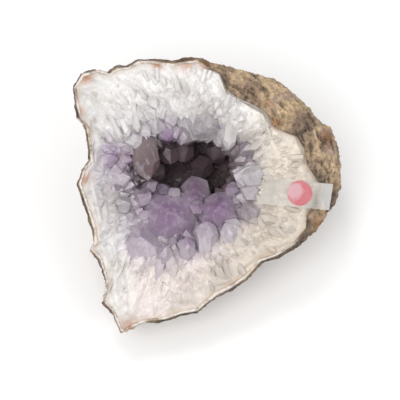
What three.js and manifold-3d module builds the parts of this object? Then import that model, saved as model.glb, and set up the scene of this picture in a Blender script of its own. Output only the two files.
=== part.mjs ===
// Half of an amethyst geode, resting on its belly with the open face leaning forwards.
// A rough brown rind wraps a thick wall of white quartz, and one crust of amethyst crystals
// lines the hollow. A strip of clear tape holds a round price sticker on the right of the face.
//
// Millimetres. The stone is drawn in the frame of its open face: u to the right, v up the face
// and w out of the face, with the middle of the hollow's mouth at zero. It is then leaned back,
// set down on a flat patch of its belly and centred, with Z up.

import * as THREE from "three";
import { mergeVertices } from "three/addons/utils/BufferGeometryUtils.js";
import { ImprovedNoise } from "three/addons/math/ImprovedNoise.js";
import Module from "manifold-3d";

const wasm = await Module();
wasm.setup();

// Driving dimensions
const LEAN = THREE.MathUtils.degToRad(25); // the face looks up and forwards by this much
const DEPTH = 94; // from the mouth of the hollow to the back of the belly
const BELLY = new THREE.Vector2(13, -14); // the deepest point of the back, in u and v
const FLOOR_BELOW = 91; // height of the hollow's mouth over the surface the stone lies on
const RIND_BODY = 4.5; // thickness of the rind round the back
const GAP = 0.4; // clearance between neighbouring solids

// The stone's edge as seen from the front, anticlockwise from the right: u, v and the width of
// the band of rind that shows between the edge and the white face.
const EDGE = [
  [111, -17, 13],
  [112, 2, 23],
  [109, 16, 22],
  [105, 28, 24],
  [95, 36, 26],
  [91, 43, 29],
  [77, 55, 23],
  [64, 64, 23],
  [50, 68, 20],
  [35, 71, 15],
  [24, 73.5, 5],
  [12, 76, 3],
  [5, 78.5, 2],
  [-6, 79, 3],
  [-13, 76, 2],
  [-25, 77.5, 2],
  [-38, 77.5, 1.5],
  [-47, 73.5, 2],
  [-54.5, 73, 2],
  [-61, 67.5, 1.5],
  [-70, 70, 1.5],
  [-80, 67, 1.5],
  [-85.5, 58, 1.5],
  [-84.5, 46, 2],
  [-83.5, 36, 3],
  [-77.5, 29, 2],
  [-75, 16, 1.5],
  [-74, 3, 1.5],
  [-79.5, -4, 1.5],
  [-82.5, -14, 1.5],
  [-77, -32, 2],
  [-71.5, -48, 2],
  [-70, -58, 1.5],
  [-73, -63, 1.5],
  [-66.5, -70, 1.5],
  [-61.5, -86, 1.5],
  [-62, -94, 1.5],
  [-64, -101, 1.5],
  [-57, -108, 1.5],
  [-50.5, -123, 1.5],
  [-42, -119, 1.5],
  [-33, -115.5, 1.5],
  [-20, -115, 2],
  [-7, -111, 2],
  [5, -108.5, 2],
  [19, -97, 2],
  [31, -91.5, 2],
  [42, -84, 2],
  [53, -72, 2],
  [66, -67.5, 2],
  [79, -59.5, 2.5],
  [91, -49.5, 5],
  [97, -42, 10],
  [107, -29, 13],
];

// Rings of the hollow from its mouth down to its floor: centre u and v, half width, half height, w.
const HOLLOW = [
  { u: -4, v: -12, a: 55, b: 51, w: -9 },
  { u: -3, v: -7, a: 46, b: 41, w: -21 },
  { u: 0, v: -1, a: 37, b: 28, w: -36 },
  { u: 2, v: -3, a: 44, b: 33, w: -52 },
  { u: 2, v: -4, a: 36, b: 27, w: -67 },
];
const HOLLOW_FLOOR = -72;
const CRUST = 4; // thickness of the crust that the amethyst stands on
const HIGH = 60; // well over the face
const DEEP = -45; // well inside the wall

// Hand-placed amethyst crystals: tip u, v and w, radius, length, and the lean of the axis away
// from w towards u and towards v.
const AMETHYST = [
  [-12, -33, 5, 17.5, 26, 0.05, 0.15],
  [-33, -47, 2, 14.5, 24, 0.1, 0.3],
  [17, -28, 0, 13.5, 26, 0.05, 0.2],
  [12, -41, 0, 9, 24, 0, 0.9],
  [3, -10, -22, 11.5, 24, 0, 0.35],
  [-17, -15, -14, 5.5, 20, 0.1, 0.6],
  [-38, 13, -10, 9.5, 30, 0.25, 0.35],
  [-52, 6, -4, 7.5, 18, 0.5, 0.1],
  [35, -7, -5, 10.5, 24, -0.3, 0.1],
  [9, 25, -12, 11, 24, 0, -0.5],
  [-15, 23, -13, 8, 22, 0.3, -0.7],
  [39, 11, -10, 7.5, 22, -0.6, -0.3],
  [-24, 30, -8, 8, 22, 0.4, -0.6],
  [-47, -28, -1, 8, 20, 0.4, 0.3],
  [-29, -19, -11, 7.5, 20, 0.5, 0.5],
  [41, -27, -2, 8, 22, -0.5, 0.5],
  [-2, -53, 0, 6, 18, 0, 0.6],
  [-19, -59, -1, 6, 16, 0.1, 0.5],
  [26, 8, -20, 6.5, 22, -0.7, -0.4],
  [27, -15, -14, 7, 20, -0.4, 0.4],
  [-8, -17, -15, 6, 20, 0, 0.7],
  [-42, -8, -9, 6.5, 20, 0.6, 0.2],
];
const SMALL_AMETHYST = 26;

// Finish of each node
const FINISH = {
  rind: { color: 0x7b6650, roughness: 0.9 },
  quartz_wall: { color: 0xe6e2dc, roughness: 0.45 },
  amethyst_crust: { color: 0x9a82ae, roughness: 0.2 },
  tape: { color: 0xdedbd4, roughness: 0.35 },
  price_sticker: { color: 0xf27d93, roughness: 0.6 },
};

// A repeatable run of numbers from 0 to 1
let seed = 20;
function chance() {
  seed = (seed * 1664525 + 1013904223) % 4294967296;
  return seed / 4294967296;
}

// Smooth lumps: about -1 to 1, with bumps roughly `size` across
const lumps = new ImprovedNoise();
const lump = (p, size, shift = 0) => 1.5 * lumps.noise(p.x / size + shift, p.y / size, p.z / size + shift);

// Turns a three.js geometry into a solid, and a solid back into a geometry
function solidOf(geometry) {
  const bare = new THREE.BufferGeometry().setAttribute("position", geometry.getAttribute("position"));
  bare.setIndex(geometry.index);
  const merged = mergeVertices(bare, 1e-3);
  const corners = [];
  const index = merged.index.array;
  for (let i = 0; i < index.length; i += 3) {
    const [a, b, c] = [index[i], index[i + 1], index[i + 2]];
    if (a !== b && b !== c && c !== a) corners.push(a, b, c);
  }
  const vertProperties = merged.attributes.position.array;
  const mesh = new wasm.Mesh({ numProp: 3, vertProperties, triVerts: new Uint32Array(corners) });
  return new wasm.Manifold(mesh);
}

function geometryOf(solid) {
  const mesh = solid.getMesh();
  const geometry = new THREE.BufferGeometry();
  geometry.setAttribute("position", new THREE.BufferAttribute(mesh.vertProperties, 3));
  geometry.setIndex(new THREE.BufferAttribute(mesh.triVerts, 1));
  return geometry;
}

// A lathed solid whose rings are then moved, point by point, to where `place(column, row)` says.
// The first and last rows are single points on the axis.
function movedLathe(columns, rows, place) {
  const profile = Array.from({ length: rows }, (_, row) => new THREE.Vector2(1, row));
  const geometry = new THREE.LatheGeometry(profile, columns);
  const position = geometry.getAttribute("position");
  for (let column = 0; column <= columns; column++)
    for (let row = 0; row < rows; row++) {
      const p = place(column % columns, row);
      position.setXYZ(column * rows + row, p.x, p.y, p.z);
    }
  return geometry;
}

// Each column of the stone: one point of the edge, with its direction and rim height. Its
// calm reach, the mean of its neighbours', is what the edge's notches fade to down the belly.
const CALM = 4;
const reachFromBelly = EDGE.map(([u, v]) => new THREE.Vector2(u, v).distanceTo(BELLY));
const columns = EDGE.map(([u, v, band], c) => {
  const edge = new THREE.Vector2(u, v);
  const angle = edge.angle();
  const rim = 1.5 + 2 * Math.sin(2 * angle + 1) + 1.2 * Math.sin(5 * angle) - 0.16 * band;
  const lip = 1.6 + 0.1 * band; // thickness of the rind where it ends at the face
  let calm = 0;
  for (let near = -CALM; near <= CALM; near++)
    calm += reachFromBelly.at((c + near) % EDGE.length) / (2 * CALM + 1);
  const step = 1.2 + 0.08 * band; // how far the quartz meets the rind under the rind's top
  return { number: c, edge, angle, band, rim, lip, calm, step, drop: 1.1 * band };
});

// Rows of the wall, from the middle of the belly up to the edge and over the shoulder to the rim
const WALL_DEGREES = [90, 78, 66, 54, 41, 28, 14, 0];
const SHOULDER_DEGREES = [30, 60];
const WALL_ROWS = WALL_DEGREES.length + SHOULDER_DEGREES.length + 1;

// A point of the rind's outside, before its lumps, or of a layer that lies `inside` it
function wallPoint(column, row, inside) {
  const { edge, band, rim, drop, calm } = column;
  const widest = rim - drop;
  if (row < WALL_DEGREES.length) {
    const out = edge.clone().sub(BELLY);
    const calmness = THREE.MathUtils.smoothstep(WALL_DEGREES[row], 0, 55);
    const reach = THREE.MathUtils.lerp(out.length(), calm, calmness);
    out.normalize();
    const angle = THREE.MathUtils.degToRad(WALL_DEGREES[row]);
    const r = (reach - inside) * Math.pow(Math.max(Math.cos(angle), 0), 0.8);
    const w = widest - (DEPTH + widest - inside) * Math.sin(angle);
    return new THREE.Vector3(BELLY.x + out.x * r, BELLY.y + out.y * r, w);
  }
  const inward = edge.clone().normalize().negate();
  const shoulder = SHOULDER_DEGREES[row - WALL_DEGREES.length];
  const angle = THREE.MathUtils.degToRad(shoulder ?? 90);
  const r = band * (1 - Math.cos(angle)) + 0.9 * inside;
  const w = widest + drop * Math.sin(angle) - Math.min(0.5 * inside, 0.4 * drop);
  return new THREE.Vector3(edge.x + inward.x * r, edge.y + inward.y * r, w);
}

// The rind thins from the back towards the rim
function rindThickness(column, row) {
  const degrees = WALL_DEGREES[row] ?? 0;
  return THREE.MathUtils.lerp(column.lip, RIND_BODY, THREE.MathUtils.smoothstep(degrees, 5, 45));
}

// Lumps and ledges of the rind, the same for every layer of one point so that none cross
function rindLumps(column, row) {
  const p = wallPoint(column, row, 0);
  const out = new THREE.Vector3(p.x - BELLY.x, p.y - BELLY.y, p.z + 20).normalize();
  const degrees = WALL_DEGREES[row];
  const hidden = degrees === undefined ? Math.min(1, column.band / 26) : Math.min(1, degrees / 30);
  const ledge = Math.abs(lump(p, 22, 3.3));
  const size = hidden * (4.5 * lump(p, 38) + 3 * lump(p, 17, 7.7) - 4 * ledge);
  return out.multiplyScalar(size);
}

// A point of a layer of the wall, `inside` the rind's outside
function layerPoint(column, row, inside) {
  const p = wallPoint(column, row, inside).add(rindLumps(column, row));
  return aboveFloor(p, inside);
}

// Points that would lie under the floor come up to it, which leaves the flat patch of the belly
const up = new THREE.Vector3(0, Math.sin(LEAN), Math.cos(LEAN));
function aboveFloor(p, inside) {
  const height = p.dot(up) + FLOOR_BELOW;
  if (height < inside) p.addScaledVector(up, inside - height);
  return p;
}

// The rim: where the rind ends on the face, `inside` its outer line and `below` its top
function rimPoint(column, inside, below) {
  const { edge, band, rim } = column;
  const reach = edge.length();
  const r = (reach - band - inside) / reach;
  return new THREE.Vector3(edge.x * r, edge.y * r, rim - below);
}

// Where the quartz meets the rind
const quartzRim = (column) => rimPoint(column, column.lip + 2.5 * GAP, column.step);

// The rind is what is left of the whole stone when all that it wraps is taken out
function rindSolid() {
  const rows = WALL_ROWS + 1;
  const stone = movedLathe(columns.length, rows, (c, row) => {
    if (row === WALL_ROWS) return new THREE.Vector3(0, 0, 0);
    return row < WALL_ROWS - 1 ? layerPoint(columns[c], row, 0) : rimPoint(columns[c], 0, 0);
  });
  const wrapped = movedLathe(columns.length, rows + 1, (c, row) => {
    const column = columns[c];
    if (row < WALL_ROWS - 1) return layerPoint(column, row, rindThickness(column, row));
    if (row === WALL_ROWS + 1) return new THREE.Vector3(0, 0, HIGH);
    const lip = rimPoint(column, column.lip, 0.6);
    return row === WALL_ROWS ? lip.setZ(HIGH) : lip;
  });
  return solidOf(stone).subtract(solidOf(wrapped));
}

// A ring of the hollow at the depth `k`, counted in rings from the mouth, taken in by `inside`
function hollowPoint(angle, k, inside) {
  const low = HOLLOW[Math.min(Math.floor(k), HOLLOW.length - 1)];
  const high = HOLLOW[Math.min(Math.floor(k) + 1, HOLLOW.length - 1)];
  const mix = (name) => THREE.MathUtils.lerp(low[name], high[name], k - Math.floor(k));
  const rough = 1.6 * Math.sin(3 * angle + 2 * k) + 1.1 * Math.sin(7 * angle - k);
  const a = mix("a") + rough - inside;
  const b = mix("b") + rough - inside;
  const sink = k > HOLLOW.length - 2 ? inside : 0;
  return new THREE.Vector3(mix("u") + a * Math.cos(angle), mix("v") + b * Math.sin(angle), mix("w") + sink);
}

// The white face between the rim and the mouth of the hollow, `share` of the way in. Its
// quartz stands in columns that point to the hollow, each broken off at its own heights.
const FACE_SHARES = [0.1, 0.24, 0.4, 0.56, 0.72, 0.88];
const COLUMN_RELIEF = 1.6;
const FACE_CROWN = 3.2;
function facePoint(column, share, above) {
  const p = quartzRim(column).lerp(hollowPoint(column.angle, 0, 0), share);
  p.z += FACE_CROWN * Math.sin(Math.PI * Math.pow(share, 0.8));
  const rough = Math.min(1, 5 * share, 6 * (1 - share)); // fades out at the rim and the mouth
  const breaks = Math.floor(2 * Math.sin(3 * Math.round(9 * share) + column.angle));
  const standing = (column.number + breaks) % 2 ? 1 : -1;
  const height = COLUMN_RELIEF * standing + 2.2 * lump(p, 11, 2.4) + 1.4 * lump(p, 5, 8.6);
  const [shiftU, shiftV] = [2 * lump(p, 9, 1.1), 2 * lump(p, 9, 5.2)];
  return p.add(new THREE.Vector3(rough * shiftU, rough * shiftV, rough * height + above));
}

const HOLLOW_DEPTHS = [0, 0.5, 1, 1.5, 2, 2.5, 3, 4];

// The quartz wall: outside against the rind, over the face and down the hollow. With `grow`
// its open surfaces stand that much prouder.
function quartzBody(grow) {
  const faceRow = WALL_ROWS;
  const hollowRow = faceRow + FACE_SHARES.length;
  const rows = hollowRow + HOLLOW_DEPTHS.length + 1;
  return solidOf(
    movedLathe(columns.length, rows, (c, row) => {
      const column = columns[c];
      if (row < WALL_ROWS - 1) return layerPoint(column, row, rindThickness(column, row) + 2 * GAP);
      if (row === WALL_ROWS - 1) return quartzRim(column);
      if (row < hollowRow) return facePoint(column, FACE_SHARES[row - faceRow], 1.5 * grow);
      if (row === rows - 1) return new THREE.Vector3(HOLLOW[4].u, HOLLOW[4].v, HOLLOW_FLOOR + grow);
      const p = hollowPoint(column.angle, HOLLOW_DEPTHS[row - hollowRow], grow);
      return p.setZ(p.z + grow);
    }),
  );
}

// A six-sided quartz crystal with a blunt, slightly crooked tip. `axis` points to the tip.
function crystal(tip, axis, radius, length, grow = 0) {
  const point = radius * 0.95;
  const profile = [
    new THREE.Vector2(0, -length - grow),
    new THREE.Vector2(0.86 * radius + grow, -length - grow),
    new THREE.Vector2(radius + grow, -point),
    new THREE.Vector2(0, grow),
  ];
  const geometry = new THREE.LatheGeometry(profile, 6);
  const crook = 0.22 * radius;
  const position = geometry.getAttribute("position");
  for (let i = 0; i < position.count; i++)
    if (position.getY(i) > -0.01) position.setX(i, position.getX(i) + crook);
  geometry.rotateY(tip.x * 7 + tip.y * 3);
  const turn = new THREE.Quaternion().setFromUnitVectors(new THREE.Vector3(0, 1, 0), axis);
  return solidOf(geometry.applyQuaternion(turn).translate(tip.x, tip.y, tip.z));
}

const axisOf = (leanU, leanV) => new THREE.Vector3(leanU, leanV, 1).normalize();

// White quartz crystals combed towards the hollow, in rows from its mouth out to the rim
const COMB = [
  { count: 17, share: 0.92, radius: 6, length: 24, rise: 3 },
  { count: 12, share: 0.6, radius: 5.5, length: 22, rise: 2.5 },
];
const COMB_LEAN = 1.6; // how far the crystals lean in towards the hollow, per unit out of the face
function combCrystals(grow) {
  const made = [];
  COMB.forEach(({ count, share, radius, length, rise }, row) => {
    for (let i = 0; i < count; i++) {
      const turn = (i + 0.5 * (row % 2)) / count;
      const column = columns[Math.floor(turn * columns.length)];
      const side = column.edge.clone().normalize();
      const underTape = side.x > 0.8 && side.y < 0.3 && side.y > -0.6;
      if (underTape) continue;
      const foot = facePoint(column, share + 0.08 * Math.sin(3 * i), 0);
      const tip = foot.setZ(foot.z + rise + 1.5 * Math.sin(7 * i));
      const size = 1 + 0.25 * Math.sin(11 * i);
      const axis = axisOf(-COMB_LEAN * side.x, -COMB_LEAN * side.y);
      made.push(crystal(tip, axis, radius * size, length, grow));
    }
  });
  return wasm.Manifold.union(made).intersect(overFace(grow));
}

// Everything inside the line where the white face meets the rind, from deep in the wall to
// high over the face
function overFace(grow) {
  return solidOf(
    movedLathe(columns.length, 5, (c, row) => {
      const p = rimPoint(columns[c], columns[c].lip + 3 * GAP - grow, 0);
      const shrink = row < 2 ? 0.75 : 1;
      if (row === 0 || row === 4) return new THREE.Vector3(0, 0, row ? HIGH : DEEP);
      p.x *= shrink;
      p.y *= shrink;
      if (row === 1) return p.setZ(DEEP);
      return row === 2 ? p.setZ(p.z - 2) : p.setZ(HIGH);
    }),
  );
}

// The room that the amethyst may fill: the hollow, clear of its wall, and the space in front
// of the face
const CLEAR = 1.3;
const CRUST_COLUMNS = columns.length / 2;
const CRUST_DEPTHS = [4, 3, 2, 1, 0.3];
function amethystRoom() {
  const shares = [0.97, 0.7];
  const faceRow = 1 + CRUST_DEPTHS.length;
  const rows = faceRow + shares.length + 3;
  return solidOf(
    movedLathe(CRUST_COLUMNS, rows, (c, row) => {
      const column = columns[2 * c];
      if (row === 0) return new THREE.Vector3(HOLLOW[4].u, HOLLOW[4].v, HOLLOW_FLOOR + CLEAR);
      if (row < faceRow) return hollowPoint(column.angle, CRUST_DEPTHS[row - 1], CLEAR);
      const share = shares[row - faceRow] ?? 0.4;
      const p = facePoint(column, share, GAP);
      if (row < rows - 2) return p;
      return row === rows - 2 ? p.setZ(HIGH) : new THREE.Vector3(0, 0, HIGH);
    }),
  );
}

// The crust's own sheet of small rough quartz, against the wall of the hollow
function crustSheet() {
  const rows = 2 + 2 * CRUST_DEPTHS.length;
  return solidOf(
    movedLathe(CRUST_COLUMNS, rows, (c, row) => {
      const angle = columns[2 * c].angle;
      const floor = new THREE.Vector3(HOLLOW[4].u, HOLLOW[4].v, HOLLOW_FLOOR + CLEAR);
      if (row === 0) return floor;
      if (row === rows - 1) return floor.setZ(HOLLOW_FLOOR + CLEAR + CRUST);
      if (row <= CRUST_DEPTHS.length) return hollowPoint(angle, CRUST_DEPTHS[row - 1], CLEAR);
      const depth = CRUST_DEPTHS[rows - 2 - row];
      const inside = CLEAR + CRUST * (depth < 0.5 ? 0.6 : 1) + Math.sin(5 * angle + 3 * depth);
      const p = hollowPoint(angle, depth, inside);
      return p.setZ(p.z + 0.3 * CRUST);
    }),
  );
}

// Small crystals between the large ones, standing square to the hollow's wall
function smallAmethyst() {
  const made = [];
  const turn = Math.PI * (3 - Math.sqrt(5));
  for (let i = 0; i < SMALL_AMETHYST; i++) {
    const angle = i * turn;
    const depth = 0.15 + 3 * (i / SMALL_AMETHYST) + 0.2 * chance();
    const foot = hollowPoint(angle, depth, CRUST);
    const radius = 3.4 + 2.6 * chance();
    const inward = new THREE.Vector3(-Math.cos(angle), -Math.sin(angle), depth < 2 ? 0.9 : -0.1);
    inward.x += 0.4 * (chance() - 0.5);
    inward.y += 0.4 * (chance() - 0.5);
    inward.normalize();
    const tip = foot.clone().addScaledVector(inward, 1.4 * radius);
    made.push(crystal(tip, inward, radius, 2 * radius));
  }
  return made;
}

function amethystCrust(comb) {
  const large = AMETHYST.map(([u, v, w, radius, length, leanU, leanV]) =>
    crystal(new THREE.Vector3(u, v, w), axisOf(leanU, leanV), radius, length),
  );
  const crystals = wasm.Manifold.union([...large, ...smallAmethyst()]).intersect(amethystRoom());
  const grown = crystals.add(crustSheet()).subtract(quartzBody(GAP)).subtract(comb);
  const bodies = grown.decompose().sort((a, b) => b.volume() - a.volume());
  return bodies[0];
}

const rind = rindSolid();
const quartz = quartzBody(0).add(combCrystals(0));
const crust = amethystCrust(combCrystals(GAP));

// Tape and sticker lie on whatever stands highest under them
const TAPE = { width: 19, thickness: 0.4, steps: 14 };
const TAPE_START = new THREE.Vector2(53, -18.5); // torn off at a slant over the amethyst
const TAPE_END = new THREE.Vector2(103, -23.5); // on the rind
const TAPE_SLANT = [7.5, 3]; // how far one corner of each end runs past the other
const STICKER = { diameter: 18.5, thickness: 0.4, u: 80, v: -20.5, sides: 28 };

// The height of the stone at a point of the face, seen from the front
const stoneMeshes = [rind, quartz, crust].map((solid) => new THREE.Mesh(geometryOf(solid)));
const into = new THREE.Vector3(0, 0, -1);
function heightAt(u, v) {
  const hits = new THREE.Raycaster(new THREE.Vector3(u, v, HIGH), into).intersectObjects(stoneMeshes);
  return hits.length ? hits[0].point.z : DEEP;
}

const alongTape = (share) => TAPE_START.clone().lerp(TAPE_END, share);

// The highest point of the stone across the tape at each step, pulled taut over the hollows
const stretch = Array.from({ length: TAPE.steps + 1 }, (_, step) => {
  const highest = [];
  for (let near = -0.5; near <= 0.5; near += 0.25)
    for (let across = -0.5; across <= 0.5; across += 0.1) {
      const middle = alongTape((step + near) / TAPE.steps);
      highest.push(heightAt(middle.x, middle.y + across * TAPE.width));
    }
  return Math.max(...highest);
});
const taut = stretch.map((height, step) => {
  let best = height;
  for (let a = 0; a < step; a++)
    for (let b = step + 1; b <= TAPE.steps; b++)
      best = Math.max(best, THREE.MathUtils.lerp(stretch[a], stretch[b], (step - a) / (b - a)));
  return best;
});
function tautHeight(u) {
  const share = (u - TAPE_START.x) / (TAPE_END.x - TAPE_START.x);
  const step = THREE.MathUtils.clamp(share, 0, 1) * TAPE.steps;
  const low = Math.min(Math.floor(step), TAPE.steps - 1);
  return THREE.MathUtils.lerp(taut[low], taut[low + 1], step - low);
}

function tapeSolid() {
  const { width, thickness, steps } = TAPE;
  const geometry = new THREE.BoxGeometry(1, width, thickness, steps, 1, 1);
  const position = geometry.getAttribute("position");
  for (let i = 0; i < position.count; i++) {
    const share = position.getX(i) + 0.5;
    const y = position.getY(i);
    const middle = alongTape(share);
    const slant = (THREE.MathUtils.lerp(...TAPE_SLANT, share) * y) / width;
    const w = tautHeight(middle.x) + 2 * GAP + STICKER.thickness + thickness / 2;
    position.setXYZ(i, middle.x + slant, middle.y + y, w + position.getZ(i));
  }
  return solidOf(geometry);
}

// The sticker follows the tape, just under it
function stickerSolid() {
  const { diameter, thickness, u, v, sides } = STICKER;
  const geometry = new THREE.CylinderGeometry(diameter / 2, diameter / 2, thickness, sides, 1);
  geometry.rotateX(Math.PI / 2);
  const position = geometry.getAttribute("position");
  for (let i = 0; i < position.count; i++) {
    const x = position.getX(i) + u;
    const w = tautHeight(x) + GAP + thickness / 2 + position.getZ(i);
    position.setXYZ(i, x, position.getY(i) + v, w);
  }
  return solidOf(geometry);
}

// Leans the stone, sets it down and centres it
const solids = {
  rind,
  quartz_wall: quartz,
  amethyst_crust: crust,
  tape: tapeSolid(),
  price_sticker: stickerSolid(),
};
const geode = new THREE.Group();
for (const [name, solid] of Object.entries(solids)) {
  const material = new THREE.MeshStandardMaterial({ ...FINISH[name], metalness: 0 });
  const mesh = new THREE.Mesh(geometryOf(solid).rotateX(LEAN), material);
  mesh.name = name;
  geode.add(mesh);
}
const box = new THREE.Box3().setFromObject(geode, true);
const middle = box.getCenter(new THREE.Vector3());
geode.position.set(-middle.x, -middle.y, -box.min.z);

export default geode;
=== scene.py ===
# %% [markdown]
# Half of an amethyst geode. A geode is a bubble in old lava that filled with quartz from its
# wall inwards: first a brown rind of altered rock, then white quartz columns that all point to
# the middle, and last the violet crystals that stand free in the hollow. Each of those layers
# gets a piece and a finish of its own here, round the solids that the frame holds.

# %% Load the frame
import math
import random

import bmesh
import bpy
import numpy as np
from mathutils import Matrix, Vector, kdtree, noise
from mathutils.bvhtree import BVHTree


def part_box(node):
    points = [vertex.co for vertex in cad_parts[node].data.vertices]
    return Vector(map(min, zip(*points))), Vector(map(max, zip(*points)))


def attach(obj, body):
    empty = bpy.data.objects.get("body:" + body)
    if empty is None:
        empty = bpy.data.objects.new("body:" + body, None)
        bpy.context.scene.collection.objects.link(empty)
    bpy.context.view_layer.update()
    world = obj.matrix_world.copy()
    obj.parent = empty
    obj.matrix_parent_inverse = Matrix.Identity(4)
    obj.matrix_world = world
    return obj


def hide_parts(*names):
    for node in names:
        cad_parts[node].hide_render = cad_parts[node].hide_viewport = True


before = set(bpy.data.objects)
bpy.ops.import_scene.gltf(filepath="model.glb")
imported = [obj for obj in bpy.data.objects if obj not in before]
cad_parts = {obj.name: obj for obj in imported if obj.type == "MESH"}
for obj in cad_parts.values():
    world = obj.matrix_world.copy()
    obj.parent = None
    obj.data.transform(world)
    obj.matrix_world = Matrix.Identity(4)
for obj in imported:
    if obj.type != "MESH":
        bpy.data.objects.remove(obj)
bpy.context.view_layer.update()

# %% [markdown]
# The stone leans back by 25 degrees, so everything on its open face is easier to place in the
# face's own directions: u to the right, v up the face and w out of it, in millimetres from the
# middle of the hollow's mouth.

# %% The frame of the open face
MM = 0.001
LEAN = math.radians(25)
MOUTH_FROM_LOW = Vector((85.5, 111.4, 91.0)) * MM  # from the rind's lowest corner
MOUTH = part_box("rind")[0] + MOUTH_FROM_LOW
FACE = Matrix.Translation(MOUTH) @ Matrix.Rotation(LEAN, 4, "X") @ Matrix.Scale(MM, 4)
TO_FACE = FACE.inverted()
HEART = Vector((0, -6))  # the point of the face that the quartz columns aim at, u and v


def face_places(mesh):
    """The u, v and w of every vertex of a mesh, one row each."""
    places = np.empty(len(mesh.vertices) * 3)
    mesh.vertices.foreach_get("co", places)
    matrix = np.array(TO_FACE)
    return places.reshape(-1, 3) @ matrix[:3, :3].T + matrix[:3, 3]


print("mouth of the hollow at", tuple(round(x, 4) for x in MOUTH))

# %% [markdown]
# The camera looks straight at the open face, from so far that the columns at its edge don't fan
# out. One pixel of the picture is 0.73 mm, and that gives the lens.

# %% Camera
PIXEL = 0.73
PICTURE = 400
AIM = Vector((7.3, -25.5, 0))  # the middle of the picture on the face
DISTANCE = 900
SENSOR = 36
camera_data = bpy.data.cameras.new("camera")
camera_data.sensor_width = SENSOR
camera_data.lens = SENSOR * DISTANCE / (PIXEL * PICTURE)
camera = bpy.data.objects.new("camera", camera_data)
bpy.context.scene.collection.objects.link(camera)
standpoint = FACE @ (AIM + Vector((0, 0, DISTANCE)))
camera.matrix_world = Matrix.Translation(standpoint) @ Matrix.Rotation(LEAN, 4, "X")
bpy.context.scene.camera = camera
print("lens", round(camera_data.lens, 1), "mm")

# %% [markdown]
# A pale floor and soft light from all round keep the shadows light. One big lamp at the upper
# left gives the crystals their bright edges, and two weaker ones fill in.

# %% Floor and light
FLOOR_REACH = 4
FLOOR_COLOUR = (0.9, 0.9, 0.9, 1)
FLOOR_ROUGHNESS = 0.9
scene = bpy.context.scene
scene.view_settings.view_transform = "Standard"


def give(node, **values):
    """Sets a node's inputs by their names."""
    for key, value in values.items():
        node.inputs[key.replace("_", " ")].default_value = value


def plain_floor():
    mesh = bpy.data.meshes.new("floor")
    work = bmesh.new()
    bmesh.ops.create_grid(work, x_segments=1, y_segments=1, size=FLOOR_REACH)
    work.to_mesh(mesh)
    work.free()
    floor = bpy.data.objects.new("floor", mesh)
    scene.collection.objects.link(floor)
    paint = bpy.data.materials.new("pale_floor")
    paint.use_nodes = True
    shader = paint.node_tree.nodes["Principled BSDF"]
    give(shader, Base_Color=FLOOR_COLOUR, Roughness=FLOOR_ROUGHNESS)
    mesh.materials.append(paint)


plain_floor()
ROOM_LIGHT = 0.75
LAMPS = [
    # name, place, width in metres, power in watts
    ("key", (-0.4, -0.65, 1.3), 0.9, 9),
    ("fill", (0.9, -0.6, 1.0), 0.9, 3),
    ("window", (-0.25, 0.35, 1.4), 0.4, 3),
]


def soft_lamp(name, place, size, energy):
    data = bpy.data.lights.new(name, "AREA")
    data.shape = "DISK"
    data.size = size
    data.energy = energy
    lamp = bpy.data.objects.new(name, data)
    lamp.location = place
    lamp.rotation_euler = (MOUTH - Vector(place)).to_track_quat("-Z", "Y").to_euler()
    scene.collection.objects.link(lamp)


for lamp in LAMPS:
    soft_lamp(*lamp)
world = bpy.data.worlds.new("soft_room")
world.use_nodes = True
give(world.node_tree.nodes["Background"], Color=(1, 1, 1, 1), Strength=ROOM_LIGHT)
scene.world = world
print(len(LAMPS), "lamps")

# %% [markdown]
# Every finish is a small tree of nodes. These helpers name the few kinds of node that are used
# again and again, such as a patch of noise, a ramp and a mix.

# %% Helpers for the finishes


def screen(code):
    """A colour given as on a screen, made linear."""
    parts = [int(code[i : i + 2], 16) / 255 for i in (1, 3, 5)]
    linear = [c / 12.92 if c <= 0.04045 else ((c + 0.055) / 1.055) ** 2.4 for c in parts]
    return (*linear, 1)


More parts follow.
